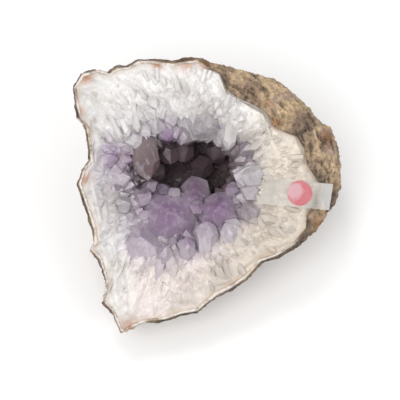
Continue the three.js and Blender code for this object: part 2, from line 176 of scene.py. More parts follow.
class Finish:
    """A material with its node tree, and short ways to add a node."""

    def __init__(self, name):
        self.material = bpy.data.materials.new(name)
        self.material.use_nodes = True
        self.tree = self.material.node_tree
        self.shader = self.tree.nodes["Principled BSDF"]
        self.place = self.add("TexCoord").outputs["Object"]

    def add(self, kind, **settings):
        node = self.tree.nodes.new("ShaderNode" + kind)
        for key, value in settings.items():
            setattr(node, key, value)
        return node

    def join(self, source, socket):
        self.tree.links.new(source, socket)

    def fill(self, sockets, values):
        """A value is a number, a colour's screen code or another node's output."""
        for socket, value in zip(sockets, values):
            if isinstance(value, (float, int)):
                socket.default_value = value
            elif isinstance(value, str):
                socket.default_value = screen(value)
            else:
                self.join(value, socket)

    def set(self, **values):
        give(self.shader, **values)

    def paint(self, colour):
        self.join(colour, self.shader.inputs["Base Color"])

    def noise(self, scale, detail=4, rough=0.55, twist=0.0, place=None):
        node = self.add("TexNoise")
        give(node, Scale=scale, Detail=detail, Roughness=rough, Distortion=twist)
        self.join(place or self.place, node.inputs["Vector"])
        return node.outputs["Fac"]

    def cells(self, scale):
        node = self.add("TexVoronoi", feature="F1")
        give(node, Scale=scale)
        self.join(self.place, node.inputs["Vector"])
        return node.outputs["Color"]

    def away(self, middle):
        """How far the surface is from a point, in metres."""
        node = self.add("VectorMath", operation="DISTANCE")
        node.inputs[1].default_value = middle
        self.join(self.place, node.inputs[0])
        return node.outputs["Value"]

    def stored(self, name, output="Fac"):
        return self.add("Attribute", attribute_name=name).outputs[output]

    def ramp(self, source, *stops):
        """Stops are (place, screen code) pairs, or (place, number) for a grey."""
        node = self.add("ValToRGB")
        elements = node.color_ramp.elements
        while len(elements) < len(stops):
            elements.new(0.5)
        for element, (place, value) in zip(elements, stops):
            element.position = place
            grey = not isinstance(value, str)
            element.color = (value, value, value, 1) if grey else screen(value)
        self.join(source, node.inputs["Fac"])
        return node.outputs["Color"]

    def mix(self, share, a, b, blend="MIX"):
        node = self.add("Mix", data_type="RGBA", blend_type=blend)
        self.fill((node.inputs[0], node.inputs[6], node.inputs[7]), (share, a, b))
        return node.outputs[2]

    def darken(self, colour, shade):
        return self.mix(1.0, colour, shade, "MULTIPLY")

    def maths(self, operation, a, b):
        node = self.add("Math", operation=operation)
        self.fill(node.inputs, (a, b))
        return node.outputs[0]

    def times(self, a, b):
        return self.maths("MULTIPLY", a, b)

    def plus(self, a, b):
        return self.maths("ADD", a, b)

    def bump(self, height, strength, distance):
        node = self.add("Bump")
        give(node, Strength=strength, Distance=distance)
        self.join(height, node.inputs["Height"])
        self.join(node.outputs["Normal"], self.shader.inputs["Normal"])


print("middle grey", round(screen("#808080")[0], 3))

# %% [markdown]
# The solids of the frame are coarse and stay as they are. A detailed piece starts as a copy of
# one. Its loose triangles are merged, and the edges on the side that shows are split until none
# is longer than a fine step.

# %% Fine copies of the frame's solids
MERGE_WITHIN = 1e-6


def piece_from(work, name):
    """A finished piece at the origin from a bmesh."""
    mesh = bpy.data.meshes.new(name)
    work.to_mesh(mesh)
    work.free()
    piece = bpy.data.objects.new(name, mesh)
    scene.collection.objects.link(piece)
    return piece


def merged_copy(node):
    work = bmesh.new()
    work.from_mesh(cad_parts[node].data)
    bmesh.ops.remove_doubles(work, verts=work.verts, dist=MERGE_WITHIN)
    return work


def split_long_edges(work, shows, step, rounds=8):
    """Splits the edges that show until none is longer than the step, in metres."""
    for _ in range(rounds):
        work.normal_update()
        long_edges = [
            edge
            for edge in work.edges
            if edge.calc_length() > step and any(shows(vert) for vert in edge.verts)
        ]
        if not long_edges:
            break
        bmesh.ops.subdivide_edges(work, edges=long_edges, cuts=1)
        bmesh.ops.triangulate(work, faces=[f for f in work.faces if len(f.verts) > 3])


print(len(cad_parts), "solids in the frame")

# %% [markdown]
# Places are read into one array, changed together and written back. What a finish has to know
# of a vertex is stored beside it as an attribute.

# %% Places and attributes of a mesh


def write_places(mesh, places):
    """Puts the vertices at these face coordinates."""
    matrix = np.array(FACE)
    room = places @ matrix[:3, :3].T + matrix[:3, 3]
    mesh.vertices.foreach_set("co", room.ravel())
    mesh.update()


def vertex_normals(mesh):
    """The vertex normals in the face's directions."""
    normals = np.empty(len(mesh.vertices) * 3)
    mesh.vertex_normals.foreach_get("vector", normals)
    turn = np.array(Matrix.Rotation(-LEAN, 3, "X"))
    return normals.reshape(-1, 3) @ turn.T


def store(mesh, name, values, domain="POINT", kind="FLOAT", field="value"):
    attribute = mesh.attributes.new(name, kind, domain)
    attribute.data.foreach_set(field, np.asarray(values, np.float32).ravel())


def surface_of(mesh):
    """A tree that finds a mesh's nearest point, with places on the face."""
    corners = [TO_FACE @ vert.co for vert in mesh.vertices]
    return BVHTree.FromPolygons(corners, [polygon.vertices[:] for polygon in mesh.polygons])


def ease(low, high, x):
    """0 up to low, 1 from high on, and a soft rise between."""
    t = np.clip((x - low) / (high - low), 0, 1)
    return t * t * (3 - 2 * t)


def lumps(places, size, octaves=1, shift=0.0):
    """Soft noise of about -1 to 1 at each place, with lumps of that size in millimetres."""
    move = Vector((shift, 0, shift))
    return np.array([noise.fractal(Vector(p) / size + move, 0.6, 2.1, octaves) for p in places])


print("noise at the mouth", lumps([(0, 0, 0)], 5))

# %% [markdown]
# The violet isn't even: it comes from traces of iron that gathered in some crystals, and it
# fades outwards into the white wall. A few patches say how violet, smoky and grey it is.

# %% Patches of colour on the face
MOUTH_MIDDLE = Vector((-4, -12))
MOUTH_HALF = Vector((55, 51))
PATCHES = [
    # u, v, reach, violet, smoke, grey
    (-15, -36, 20, 1.1, 0, 0),  # the largest crystal, under the hollow
    (-33, -51, 13, 0.45, 0, 0),  # its neighbour to the lower left
    (21, -31, 14, 1.08, 0, 0),  # its neighbour to the right
    (12, -46, 8, 0.55, 0.05, 0),
    (-17, 23, 6, 1.8, 0, 0),  # the deep spot over the hollow
    (-52, 5, 9, 1.1, 0.2, 0),
    (-34, -20, 10, 0.65, 0.1, 0),
    (37, -17, 5, 0.9, 0.3, 0),
    (28, 4, 6, 0.6, 0.3, 0),
    (10, 26, 12, 0, 0.3, 0.12),  # the smoky block over the hollow
    (-33, 0, 10, 0.15, 1.1, 0),  # the smoky column at its left
    (39, 10, 8, 0.1, 1.1, 0),
    (42, -33, 9, 0.2, 0.65, 0),
    (-13, -60, 7, 0.4, 0.5, 0),
    (-22, 31, 9, 0.08, 0.05, 0.2),
    (38, -6, 9, 0.1, 0, 0),
    (-7, 23, 7, 0.3, 0, 0),
    (-16, -17, 6, 0.1, 0.1, 0.3),
    (-54, -27, 8, 0.05, 0.3, 0.35),
    (55, -34, 9, 0, 0.35, 0.3),
    (50, -12, 9, 0, 0.05, 0.1),
    (47, 16, 9, 0, 0.15, 0.2),
    (28, 24, 8, 0, 0.1, 0.15),
    (-3, 34, 8, 0, 0, 0.2),
    (-44, 22, 8, 0.12, 0.05, 0.12),
    (-58, -10, 10, 0.25, 0, 0),
    (32, -52, 10, 0.05, 0.1, 0),
    (-50, -45, 8, 0.1, 0, 0.1),
    (5, 14, 9, 0.3, 0.5, 0),
    (3, -15, 8, 0.7, 0.45, 0),
    (29, 2, 5, 1.2, 0.5, 0),
]
BASE_WEIGHT = 0.12  # how much the colour between the patches counts
BASE_COLOUR = (0.42, 0.2, 0.12)  # its violet, smoke and grey
FADE_FROM, FADE_OVER = 0.75, 0.3  # shares of the mouth over which it fades


def mouth_share(u, v):
    """How far a point of the face is from the middle of the mouth: 1 on the mouth's edge."""
    return np.hypot((u - MOUTH_MIDDLE.x) / MOUTH_HALF.x, (v - MOUTH_MIDDLE.y) / MOUTH_HALF.y)


def tint(u, v):
    """How violet, smoky and grey the stone is at points of the face."""
    u, v = np.asarray(u, float), np.asarray(v, float)
    share = mouth_share(u, v)
    base = np.exp(-((np.maximum(share - FADE_FROM, 0) / FADE_OVER) ** 2))
    total = np.full(u.shape, BASE_WEIGHT)
    sums = [part * base * total for part in BASE_COLOUR]
    for at_u, at_v, reach, *parts in PATCHES:
        pull = np.exp(-((np.hypot(u - at_u, v - at_v) / reach) ** 2))
        total = total + pull
        sums = [have + pull * part for have, part in zip(sums, parts)]
    return [have / total for have in sums]


print(len(PATCHES), "patches of colour")

# %% [markdown]
# Water has left iron along the edge of the cut, in small rusty spots on rind and quartz.

# %% Rust
RUST = [
    # u, v, reach
    (101, 20, 6),
    (-76, 64, 5),
    (-2, 75, 7),
    (-24, 73, 4),
    (-81, 39, 4),
    (63, 31, 4),
    (96, -44, 6),
    (-78, -10, 5),
    (-44, -119, 6),
    (12, 74, 4),
]
RUST_DEPTH = -25  # on the rind, rust reaches down to this w


def rust_share(u, v):
    shares = [np.exp(-((np.hypot(u - at_u, v - at_v) / reach) ** 2)) for at_u, at_v, reach in RUST]
    return np.clip(sum(shares), 0, 1)


print(len(RUST), "rusty spots")

# %% [markdown]
# At the upper right the rind is a broad band, seen from its side. Round the rest of the face
# only its lip shows: pale next to the quartz, dark at the stone's edge. A line parts the two.

# %% Where the rind's lip shows
BAND_FROM = Vector((11, 77))  # the line on the face past which the rind is a broad band
BAND_TO = Vector((102, -62))
BAND_BLEND = (-6, 4)  # across that line, from the lip to the whole band
CHALK_APART, CHALK_FACING = (1.3, 2.0), (-0.1, 0.4)  # apart from the quartz, facing out
EDGE_APART, EDGE_DEPTH = (1.3, 2.1), (-12, -3)
# Painted shade in the gap between the quartz and the rind's band: how far from the quartz, and how
# deep.
CREVICE_SHADE_APART, CREVICE_SHADE_DEPTH = (0.8, 3.2), (-25, -18)


def narrow_share(places):
    """1 where the rind shows as a narrow line only, 0 along its broad band."""
    along = (BAND_TO - BAND_FROM).normalized()
    past = (places[:, 0] - BAND_FROM.x) * -along.y + (places[:, 1] - BAND_FROM.y) * along.x
    return 1 - ease(*BAND_BLEND, past)


def lip_shares(places, normals, apart):
    """Where the rind is a pale lip, the stone's darkened edge, and painted shade in the gap along its
    band.
    """
    narrow = narrow_share(places)
    depth = places[:, 2]
    facing = ease(*CHALK_FACING, normals[:, 2])
    chalk = narrow * (1 - ease(*CHALK_APART, apart)) * facing
    edge = narrow * ease(*EDGE_APART, apart) * ease(*EDGE_DEPTH, depth)
    close = 1 - ease(*CREVICE_SHADE_APART, apart)
    crevice_shade = (1 - narrow) * close * ease(*CREVICE_SHADE_DEPTH, depth)
    return chalk, edge, crevice_shade


print("the band is", round((BAND_TO - BAND_FROM).length), "mm long")

# %% [markdown]
# The rind is weathered lava: lumpy at the scale of a thumb, with pits, grains and ledges that
# run along the stone. Noise moves its vertices along their normals, and how deep each one lies
# is kept, so that the finish can paint shade into the pits. The belly stays flat.

# %% Rind
BACK_MIDDLE = Vector((13, -14, -30))  # deep in the stone, so the outside looks away from it
RIND_STEP = 1.7 * MM
COVER = 1.8  # how much rind stays over the quartz in the deepest pits
BROAD_SIZE, BROAD_RISE = 16, 1.2
LEDGE_SIZE, LEDGE_DROP = 20, 3.2
PIT_SIZE, PIT_DROP = 5, 2.0
GRAIN_SIZE, GRAIN_RISE = 2.2, 0.45
LIFT = 1.3  # brings the whole back out by what ledges and pits take
AROUND, OUTWARD = 60, 3.2  # stretches the noise, so that ledges run round the stone
BELLY = (0.3, 6)  # heights between which the relief sets in


def on_outside(vert):
    place = TO_FACE @ vert.co
    return (place - BACK_MIDDLE).dot(TO_FACE.to_3x3() @ vert.normal) > 0


def weathered(places):
    """How far the weather left the rind out of its solid at each place."""
    u, v, w = places.T
    around = np.stack([AROUND * np.arctan2(v, u), OUTWARD * np.hypot(u, v), w], 1)
    broad = lumps(places, BROAD_SIZE, 3)
    ledge = np.abs(lumps(around, LEDGE_SIZE, 3, 4.1))
    pits = np.abs(lumps(places, PIT_SIZE, 3, 9.3))
    grain = lumps(places, GRAIN_SIZE, 2, 2.7)
    return BROAD_RISE * broad - LEDGE_DROP * ledge - PIT_DROP * pits + GRAIN_RISE * grain + LIFT


def make_rind():
    work = merged_copy("rind")
    split_long_edges(work, on_outside, RIND_STEP)
    outside = np.array([on_outside(v) for v in work.verts])
    piece = piece_from(work, "rind_stone")
    mesh = piece.data
    places = face_places(mesh)
    normals = vertex_normals(mesh)
    room_heights = np.array([v.co.z for v in mesh.vertices]) / MM
    wall = surface_of(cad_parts["quartz_wall"].data)
    apart = np.array([wall.find_nearest(p)[3] for p in places])
    chalk, edge, crevice_shade = lip_shares(places, normals, apart)
    calm = 1 - 0.5 * np.maximum(chalk, edge)
    free = outside * calm * ease(*BELLY, room_heights)
    height = weathered(places)
    moved = np.maximum(height * free, np.minimum(0, COVER - apart))
    places += normals * moved[:, None]
    write_places(mesh, places)
    store(mesh, "relief", np.clip(0.5 + 0.3 * height, 0, 1))
    store(mesh, "chalk", chalk)
    store(mesh, "edge", edge)
    store(mesh, "crevice_shade", crevice_shade)
    store(mesh, "rust", rust_share(places[:, 0], places[:, 1]) * (places[:, 2] > RUST_DEPTH))
    return piece


rind = make_rind()
print("rind", len(rind.data.polygons), "faces")

# %% [markdown]
# It is tan with brown, grey and rosy patches and a fine grit. The stored relief paints shade
# into the pits, shade is painted into the gap along the band, and noise chips the pale lip.

# %% Finish of the rind


def rind_finish():
    f = Finish("weathered_rind")
    tan = f.ramp(
        f.noise(22, 5, 0.6, 0.6),
        (0.32, "#74655a"),
        (0.42, "#968370"),
        (0.5, "#b8a588"),
        (0.58, "#9f8b84"),
        (0.68, "#8a766b"),
    )
    strays = f.ramp(f.noise(60, 4, 0.6), (0.56, 0.0), (0.7, 0.7))
    strayed = f.mix(strays, tan, "#8a5f3c")
    stained = f.mix(f.stored("rust"), strayed, "#8a6749")
    grit = f.ramp(f.noise(230, 5, 0.7, 0.1), (0.36, "#4d423a"), (0.62, "#e9dfd2"))
    speckled = f.mix(0.5, stained, grit, "OVERLAY")
    # Painted shade in the pits, read from the stored relief.
    pit_shaded = f.darken(speckled, f.ramp(f.stored("relief"), (0.1, 0.42), (0.4, 0.85), (0.65, 1.0)))
    # Painted shade in the gap between the quartz and the rind's band.
    painted_shade = f.darken(pit_shaded, f.ramp(f.stored("crevice_shade"), (0.0, 1.0), (1.0, 0.34)))
    edged = f.darken(painted_shade, f.ramp(f.stored("edge"), (0.0, 1.0), (1.0, 0.4)))
    chipped = f.ramp(f.noise(75, 5, 0.75), (0.4, 0.15), (0.54, 1.0))
    f.paint(f.mix(f.times(f.stored("chalk"), chipped), edged, "#d9d3cc"))
    f.set(Roughness=0.85)
    f.bump(f.noise(700, 5, 0.7), 0.5, 0.0006)
    return f.material


rind.data.materials.append(rind_finish())
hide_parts("rind")
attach(rind, "root")
print("rind finished")

# %% [markdown]
# The white quartz is a forest of columns broken across: small flat facets that step up and down,
# longer towards the hollow than across. Every vertex belongs to its nearest seed, by a ruler
# that is stretched towards the hollow, and each cell is a small tilted roof at its own height.

# %% Seeds of the broken columns
SEED_ACROSS = 3.6
SEED_ALONG = 8.0
FIRST_RING, LAST_RING = 18, 135
AT_ONCE = 4000  # how many points are compared with all seeds at a time
chance = np.random.default_rng(7)


def column_seeds(start, end):
    """Jittered seeds in rings round the heart: u and v of each."""
    seeds = []
    for ring in np.arange(start, end, SEED_ALONG):
        count = int(2 * math.pi * ring / SEED_ACROSS)
        angles = (np.arange(count) + chance.random(count)) * 2 * math.pi / count
        reach = ring + SEED_ALONG * (chance.random(count) - 0.5)
        seeds.append(np.stack([HEART.x + reach * np.cos(angles), HEART.y + reach * np.sin(angles)], 1))
    return np.concatenate(seeds)


SEEDS = column_seeds(FIRST_RING, LAST_RING)
SEED_OUT = (SEEDS - HEART) / np.linalg.norm(SEEDS - HEART, axis=1)[:, None]
SEED_TRAIT = chance.random((len(SEEDS), 5))


def nearest_columns(uv):
    """For each point, the number of its column and its place along and across it."""
    picked = np.empty(len(uv), int)
    for start in range(0, len(uv), AT_ONCE):
        part = uv[start : start + AT_ONCE]
        offset = part[:, None, :] - SEEDS[None]
        along = (offset * SEED_OUT[None]).sum(2)
        across = offset[:, :, 0] * -SEED_OUT[None, :, 1] + offset[:, :, 1] * SEED_OUT[None, :, 0]
        apart = (along / SEED_ALONG) ** 2 + (across / SEED_ACROSS) ** 2
        picked[start : start + AT_ONCE] = apart.argmin(1)
    offset = uv - SEEDS[picked]
    out = SEED_OUT[picked]
    along = (offset * out).sum(1)
    across = offset[:, 0] * -out[:, 1] + offset[:, 1] * out[:, 0]
    return picked, along, across


print(len(SEEDS), "columns")

# %% [markdown]
# The white isn't one white: it is cream at the right, pink at the foot and brown along the rind,
# and painted shade makes the left and the lower right a little darker. The finish mixes these
# stored shares.

# %% Zones of colour on the quartz
WARM_FROM, WARM_TO = 10, 75
ROSE_ABOVE, ROSE_FULL = 45, 80
STAIN, STAIN_APART = 0.55, (0.8, 4.5)
TINT_ENDS = (0.95, 1.5)  # shares of the mouth between which the violet ends
rind_places = face_places(rind.data)
rind_tree = kdtree.KDTree(len(rind_places))
for number, place in enumerate(rind_places):
    rind_tree.insert(place, number)
rind_tree.balance()


def from_rind(places):
    return np.array([rind_tree.find(p)[2] for p in places])


def warm_share(u, v):
    """The right of the face is stained cream."""
    return 0.85 * ease(WARM_FROM, WARM_TO, u - 0.35 * v)


def rose_share(u, v):
    """The foot of the face is faintly pink."""
    return 0.8 * ease(ROSE_ABOVE, ROSE_FULL, -v) * ease(-60, -30, u)


def side_shade_share(u, v):
    """Painted shade: the left and the lower right of the face are made a little darker."""
    left = 0.9 * ease(40, 75, -np.asarray(u))
    lower_right = 0.9 * ease(75, 110, np.asarray(u) - v)
    return left + lower_right


def store_zones(mesh, places, edge):
    """Stores how violet, warm and stained each point of the face is."""
    u, v = places[:, 0], places[:, 1]
    for name, values in zip(("violet", "smoke", "grey"), tint(u, v)):
        store(mesh, name, values * (1 - ease(*TINT_ENDS, mouth_share(u, v))))
    store(mesh, "warm", warm_share(u, v))
    store(mesh, "rose", rose_share(u, v))
    store(mesh, "side_shade", side_shade_share(u, v))
    store(mesh, "stain", STAIN * (1 - ease(*STAIN_APART, edge)))
    store(mesh, "rust", rust_share(u, v))


print("cream at the right", round(float(warm_share(80, 0)), 2))

# %% [markdown]
# The wall is a fine copy of its solid with its coarse facets smoothed. The columns raise their
# roofs on it, and at the rim the quartz has grown a little over the rind.

# %% Quartz wall
QUARTZ_STEP = 1.35 * MM
SOFTENINGS = 14
SOFT_DEPTH, SOFT_APART = -24, 4  # only above this w and this far from the rind
OPEN_DEPTH = -30  # above this w the wall is split finely
ROOF, STEP = 0.95, 1.15  # how high a column's roof is, and how much columns differ
SWELL_SIZE, SWELL = 9, 0.9
RIM = 1.2  # the relief starts this far from the rind
RELIEF_FULL, SWELL_FULL = 25, 6
OVERGROWN = 1.1  # how far the quartz has grown over its line with the rind
OVERGROWN_APART = (0.6, 3)
NEAR_RIM = 8
RIND_BODY = surface_of(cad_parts["rind"].data)


def on_open_side(vert):
    place = TO_FACE @ vert.co
    facing = TO_FACE.to_3x3() @ vert.normal
    return place.z > OPEN_DEPTH and facing.z > 0.15 * MM


def soften_face(work):
    """Rounds off the coarse facets of the open face, away from its line with the rind."""
    places = {v: TO_FACE @ v.co for v in work.verts if on_open_side(v)}
    inner = [v for v, p in places.items() if p.z > SOFT_DEPTH and rind_tree.find(p)[2] > SOFT_APART]
    axes = {f"use_axis_{axis}": True for axis in "xyz"}
    for _ in range(SOFTENINGS):
        bmesh.ops.smooth_vert(work, verts=inner, factor=0.5, **axes)


def broken_columns(places, edge):
    """How high the broken columns stand at each place, and each place's shade."""
    cell, along, across = nearest_columns(places[:, :2])
    trait = SEED_TRAIT[cell]
    roof = ROOF * (0.5 - np.abs(across) / SEED_ACROSS) * (0.3 + trait[:, 0])
    tilt = along * (0.25 * trait[:, 1] - 0.1) + across * 0.5 * (trait[:, 2] - 0.5)
    step = STEP * (trait[:, 3] - 0.5)
    broken = (roof + tilt + step) * ease(RIM, RELIEF_FULL, edge)
    swell = SWELL * lumps(places, SWELL_SIZE, 3)
    return (broken + swell) * ease(RIM, SWELL_FULL, edge), trait[:, 4]


def grow_over_rim(places, normals, edge):
    """How far the quartz next to the rind has grown over it."""
    near = np.flatnonzero(edge < NEAR_RIM)
    apart = np.full(len(places), float(NEAR_RIM))
    apart[near] = [RIND_BODY.find_nearest(p)[3] for p in places[near]]
    return OVERGROWN * (1 - ease(*OVERGROWN_APART, apart)) * (normals[:, 2] > -0.2)


def make_quartz():
    work = merged_copy("quartz_wall")
    split_long_edges(work, on_open_side, QUARTZ_STEP)
    soften_face(work)
    piece = piece_from(work, "quartz_columns")
    places = face_places(piece.data)
    normals = vertex_normals(piece.data)
    edge = from_rind(places)
    grown = grow_over_rim(places, normals, edge)
    open_side = (normals[:, 2] > 0.1) & (places[:, 2] > -32)
    height, shade = broken_columns(places, edge)
    places[:, 2] += height * open_side
    grown *= (places[:, 2] > -20) * narrow_share(places)
    outwards = places[:, :2] / np.linalg.norm(places[:, :2], axis=1)[:, None]
    places[:, :2] += outwards * grown[:, None]
    places[:, 2] += 0.7 * grown
    write_places(piece.data, places)
    store_zones(piece.data, places, from_rind(places))
    store(piece.data, "cell", shade)
    return piece


quartz = make_quartz()
print("quartz", len(quartz.data.polygons), "faces")

# %% [markdown]
# Milky quartz is white with a satin gloss. The stored zones are mixed over it, and small cells
# give it the bump of sugar grains. Its crystals get the same finish, a little see-through.

# %% Finish of the quartz
QUARTZ_IOR = 1.544


def quartz_finish(name, clear):
    f = Finish(name)
    whites = f.ramp(f.noise(45, 4), (0.35, 0.0), (0.65, 1.0))
    cool = f.mix(whites, "#dbd8d6", "#e6e4e2")
    rosy = f.mix(f.stored("rose"), cool, "#dccfca")
    warm = f.mix(f.stored("warm"), rosy, "#dbcebc")
    # Painted shade at the left and the lower right of the face.
    side_shaded = f.darken(warm, f.ramp(f.stored("side_shade"), (0.0, 1.0), (1.0, 0.82)))
    grey_patch = f.ramp(f.noise(60, 5, 0.7, 0.8), (0.48, 0.0), (0.66, 1.0))
    patched = f.mix(f.times(grey_patch, 0.6), side_shaded, "#b4aba2")
    violet = f.mix(f.stored("violet"), patched, "#a78fb6")
    smoky = f.mix(f.stored("smoke"), violet, "#8f8078")
    lilac = f.mix(f.stored("grey"), smoky, "#aeaba8")
    blots = f.ramp(f.noise(70, 4, 0.7), (0.35, 0.1), (0.7, 1.0))
    stained = f.mix(f.times(f.stored("stain"), blots), lilac, "#b39066")
    rusty = f.mix(f.times(f.stored("rust"), 0.85), stained, "#a8714f")
    f.paint(f.darken(rusty, f.ramp(f.stored("cell"), (0.0, 0.9), (0.45, 0.97), (1.0, 1.0))))
    f.set(Roughness=0.32, IOR=QUARTZ_IOR)
    if clear:
        f.set(Transmission_Weight=clear)
    f.bump(f.cells(520), 0.35, 0.0008)
    return f.material


quartz.data.materials.append(quartz_finish("milky_quartz", 0))
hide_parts("quartz_wall")
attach(quartz, "root")
print("quartz finished")

# %% [markdown]
# A quartz crystal is a six-sided column that ends in six slanted faces, three large and three
# small in turn, and no two crystals have them quite alike. Fourteen prisms are cut down by six
# planes each, as a cutter would grind them, and every crystal is a copy of one.

# %% Crystal patterns
PATTERNS = 14
SIDES = 6
SLANT = math.radians(38)  # between a tip's face and the crystal's axis
FOOT_RADIUS, PRISM, PRISM_MIDDLE = 0.9, 6, -1
SKEW = 5  # degrees that a face may be turned by
LARGE_FACE, SMALL_FACE = (-0.12, 0.04), (0.0, 0.12)  # how far out its cut lies


def cut_tip(work, side, pick):
    """Grinds one slanted face. Faces are large and small in turn."""
    turn = math.radians(60 * side + 30 + pick.uniform(-SKEW, SKEW))
    flat = math.cos(SLANT)
    normal = Vector((flat * math.cos(turn), flat * math.sin(turn), math.sin(SLANT)))
    shift = pick.uniform(*SMALL_FACE) if side % 2 else pick.uniform(*LARGE_FACE)
    everything = work.verts[:] + work.edges[:] + work.faces[:]
    cut = {"plane_co": normal * shift, "plane_no": normal}
    bmesh.ops.bisect_plane(work, geom=everything, clear_outer=True, **cut)
    bmesh.ops.holes_fill(work, edges=work.edges)


def crystal_pattern(number):
    """A crystal of radius 1 that points along z, with its tip near 0 and its foot at -4."""
    pick = random.Random(number)
    work = bmesh.new()
    middle = Matrix.Translation((0, 0, PRISM_MIDDLE))
    size = {"segments": SIDES, "radius1": FOOT_RADIUS, "radius2": 1.0, "depth": PRISM}
    bmesh.ops.create_cone(work, cap_ends=True, matrix=middle, **size)
    for side in range(SIDES):
        cut_tip(work, side, pick)
    bmesh.ops.remove_doubles(work, verts=work.verts, dist=0.02)
    bmesh.ops.recalc_face_normals(work, faces=work.faces)
    mesh = bpy.data.meshes.new(f"crystal_{number}")
    work.to_mesh(mesh)
    work.free()
    return mesh


patterns = [crystal_pattern(number) for number in range(PATTERNS)]
print("faces of a crystal", [len(mesh.polygons) for mesh in patterns])

# %% [markdown]
# Crystals that grew together are one piece: a druse. Each is a pattern at its own length, with
# its tip where it belongs. Rays look back from the tip, so that no foot comes out of the rind.
# Every crystal keeps its tints for the finish.

# %% Druses of many crystals
TINTED = 2.6  # how far down from its tip a crystal is tinted, in radii
SPARE = 1.5  # what stays between a crystal's foot and the rind
SHORTEST = 0.3  # no crystal is pressed below this share of its pattern
HOLE = Vector((0, -1))  # the middle of the dark hole on the face
HOLE_HALF = Vector((30, 17))
FLAW_STRETCH = (1, 1, 0.35)  # flaws run along the crystal


def hole_shade_share(u, v, w):
    """How much painted shade darkens a crystal at a point, where its end hangs over the hole."""
    share = np.hypot((u - HOLE.x) / HOLE_HALF.x, (v - HOLE.y) / HOLE_HALF.y)
    return (1 - ease(0.85, 1.25, share)) * (1 - ease(-13, -7, w)) * ease(-10, 0, v)


def room_behind(tip, axis, radius):
    """How long a crystal can be until its foot would reach the rind."""
    side = axis.orthogonal().normalized() * radius
    corners = [Matrix.Rotation(turn * math.pi / 3, 3, axis) @ side for turn in range(SIDES)]
    starts = [tip] + [tip + corner for corner in corners]
    hits = [RIND_BODY.ray_cast(start, -axis)[3] for start in starts]
    return min((hit for hit in hits if hit is not None), default=1000) - SPARE


def placed(pattern, tip, axis, radius, length, turn):
    """A copy of a pattern at its length and place, and its vertices before it was placed."""
    mesh = pattern.copy()
    stretch = max(length / (4 * radius), SHORTEST)
    places = np.array([v.co for v in mesh.vertices])
    places[:, 2] = np.where(places[:, 2] < -3, places[:, 2] * stretch, places[:, 2])
    mesh.vertices.foreach_set("co", places.ravel())
    stand = Vector((0, 0, 1)).rotation_difference(axis).to_matrix().to_4x4()
    spin = Matrix.Rotation(turn, 4, "Z")
    mesh.transform(FACE @ Matrix.Translation(tip) @ stand @ spin @ Matrix.Scale(radius, 4))
    return mesh, places


def druse(name, crystals):
    """One piece of many crystals. Each is (tip, axis, radius, length, turn, traits), with tip and
    radius in millimetres on the face, and traits a dict of numbers stored at its vertices."""
    work = bmesh.new()
    traits = {}
    grains = []
    pick = random.Random(name)
    for number, (tip, axis, radius, length, turn, own) in enumerate(crystals):
        room = min(length, room_behind(tip, axis, radius))
        mesh, places = placed(patterns[number % PATTERNS], tip, axis, radius, room, turn)
        work.from_mesh(mesh)
        # Painted shade on the ends that hang over the hole.
        traits.setdefault("painted_shade", []).append(hole_shade_share(*face_places(mesh).T))
        bpy.data.meshes.remove(mesh)
        traits.setdefault("tip", []).append(np.clip(1 + places[:, 2] / TINTED, 0, 1))
        grains.append(places * radius * MM * FLAW_STRETCH + pick.random() * np.array([1.0, 2.0, 3.0]))
        for key, value in own.items():
            traits.setdefault(key, []).append(np.full(len(places), value))
    piece = piece_from(work, name)
    for key, values in traits.items():
        store(piece.data, key, np.concatenate(values))
    store(piece.data, "grain", np.concatenate(grains), kind="FLOAT_VECTOR", field="vector")
    # Each face gets a random brightness: painted light that stands in for refraction in the crystal.
    store(piece.data, "painted_facet_light", [pick.random() for _ in piece.data.polygons], "FACE")
    print(name, len(crystals), "crystals,", len(piece.data.polygons), "faces")
    return piece


# %% [markdown]
# White crystals stand at many of the columns' seeds, small and sparse near the rim, larger and
# closer by the hollow. They lean inwards, because a geode grows towards its middle.

# %% White crystals of the wall
FULL_TURN = 6.3  # just over a turn, in radians
WALL_SHARE, WALL_FADE = 1.75, 0.7  # shares of the mouth over which they get rare and small
FAR_CHANCE = 0.35  # the share of seeds that carry one even there
RIM_FREE = 6.5  # no crystal stands closer to the rind
DEEPEST = -22  # none stands deeper than this w
NARROW, WIDER = 1.2, 3.0  # radius near the rim, and what is added at the hollow
WALL_SURFACE = surface_of(quartz.data)


def surface_at(u, v):
    """The quartz's point straight under a point of the face."""
    return WALL_SURFACE.ray_cast(Vector((u, v, 60)), Vector((0, 0, -1)))[0]


def wall_traits(u, v, fade, grey, pick):
    violet, smoke, patch_grey = (float(x) * fade for x in tint(u, v))
    own = {"violet": violet, "smoke": smoke, "grey": patch_grey + grey, "warm": warm_share(u, v)}
    # The white crystals take the wall's tints, and its painted shade at the left and lower right.
    own.update({"rose": rose_share(u, v), "side_shade": side_shade_share(u, v), "stain": 0.0, "rust": 0.0})
    own["cell"] = pick.random()
    return own


def wall_crystal(u, v, spot, edge, near, pick):
    """One crystal with its tip just over the wall, leaning to the heart."""
    out = Vector((u - HEART.x, v - HEART.y, 0)).normalized()
    aside = Vector((-out.y, out.x, 0)) * pick.uniform(-0.3, 0.3)
    axis = (-out + aside + Vector((0, 0, pick.uniform(0.1, 0.6)))).normalized()
    radius = (NARROW + WIDER * near * near) * pick.uniform(0.7, 1.4)
    length = min(pick.uniform(5, 7) * radius, 0.7 * edge + 3)
    rise = pick.uniform(-0.5, 0.25 + 0.4 * near) * radius
    tip = spot + Vector((0, 0, rise)) - out * 0.4 * radius
    own = wall_traits(u, v, near * pick.uniform(0.3, 1), 0.15 * pick.random() ** 3, pick)
    return tip, axis, radius, length, pick.uniform(0, FULL_TURN), own


